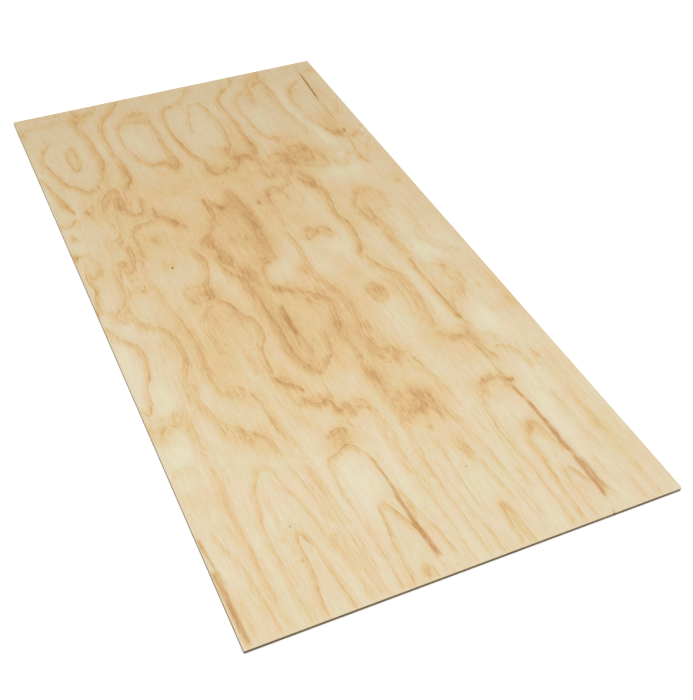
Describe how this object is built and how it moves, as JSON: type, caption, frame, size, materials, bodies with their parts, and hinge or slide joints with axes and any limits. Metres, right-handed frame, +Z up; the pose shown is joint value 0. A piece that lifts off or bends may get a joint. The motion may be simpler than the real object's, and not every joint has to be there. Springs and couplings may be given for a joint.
{
  "type": "plywood sheet",
  "caption": "Full rectangular sheet of rotary-cut softwood plywood with eased edges, an open face split and a knocked corner, lying flat.",
  "frame": {"origin": "middle of the underside, on the surface the sheet lies on", "axes": "+X to the right across the sheet, +Y along the face grain towards the far end, +Z up out of the better face"},
  "size_m": [1.22, 2.44, 0.009],
  "materials": {
    "pine_veneer": "sanded, unfinished rotary-cut pine face veneer with sawn edges"
  },
  "bodies": {
    "root": {"plywood_sheet": "pine_veneer"}
  },
  "joints": []
}
